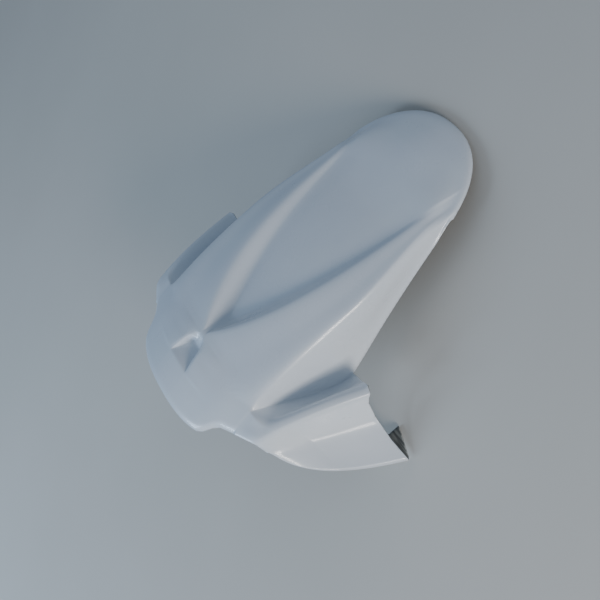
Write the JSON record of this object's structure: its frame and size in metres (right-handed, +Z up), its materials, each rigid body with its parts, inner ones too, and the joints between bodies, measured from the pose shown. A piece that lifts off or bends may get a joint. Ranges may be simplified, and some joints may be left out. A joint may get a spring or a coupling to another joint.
{
  "type": "motorcycle rear fender",
  "caption": "One-piece moulded rear fender with a round-ended tongue, a tapering sunk channel and a flared wing on each side.",
  "frame": {"origin": "on the floor, below the middle of the overall box, with the fender lying on its wing tips and the end of its tongue", "axes": "+Z up, +X across the fender to one wing, +Y from the front edge to the tip of the tongue"},
  "size_m": [0.428, 0.405, 0.1597],
  "materials": {
    "gelcoat": "gloss"
  },
  "bodies": {
    "root": {"fender_shell": "gelcoat"}
  },
  "joints": []
}
